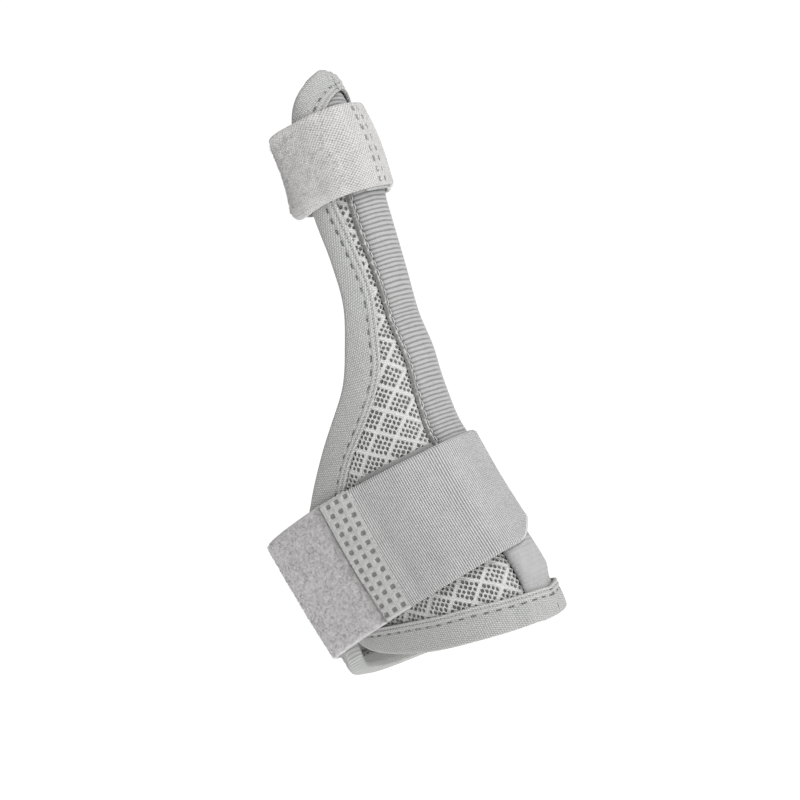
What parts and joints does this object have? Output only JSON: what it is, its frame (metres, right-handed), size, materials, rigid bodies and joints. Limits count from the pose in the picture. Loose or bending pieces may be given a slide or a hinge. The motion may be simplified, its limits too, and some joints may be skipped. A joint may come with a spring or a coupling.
{
  "type": "thumb spica splint",
  "caption": "Wrist and thumb splint of padded mesh panels with bound edges, a ribbed stay sleeve over the thumb side, a wide wrist strap and a thumb strap.",
  "frame": {"origin": "middle of the wrist, in the middle of the hollow, halfway up the wrist strap", "axes": "+Z along the forearm towards the hand, +X to the thumb side, +Y to the palm"},
  "size_m": [0.1151, 0.0648, 0.2013],
  "materials": {
    "air_mesh": "light grey padded air mesh with small diamond holes",
    "knit_binding": "light grey knitted binding tape with a fine chevron face",
    "ribbed_webbing": "light grey webbing with close cross ribs",
    "piping": "narrow folded edge of grey knit tape",
    "ribbed_elastic": "light grey woven elastic with fine lengthwise ribs",
    "velour": "mid grey brushed loop velour",
    "hook_tape": "grey hook tape, hidden when the straps are closed",
    "narrow_elastic": "grey flat elastic",
    "woven_tape": "pale grey plain-woven tape with smooth selvages"
  },
  "bodies": {
    "root": {"dorsal_panel": "air_mesh", "palmar_panel": "air_mesh", "cuff_binding": "knit_binding", "dorsal_binding": "knit_binding", "palmar_binding": "knit_binding", "stay_sleeve": "ribbed_webbing", "dorsal_piping": "piping", "palmar_piping": "piping", "wrist_strap_elastic": "ribbed_elastic", "wrist_strap_tab": "velour", "wrist_hook_patch": "hook_tape", "thumb_elastic": "narrow_elastic", "thumb_hook_patch": "hook_tape", "thumb_strap_tape": "woven_tape"}
  },
  "joints": []
}
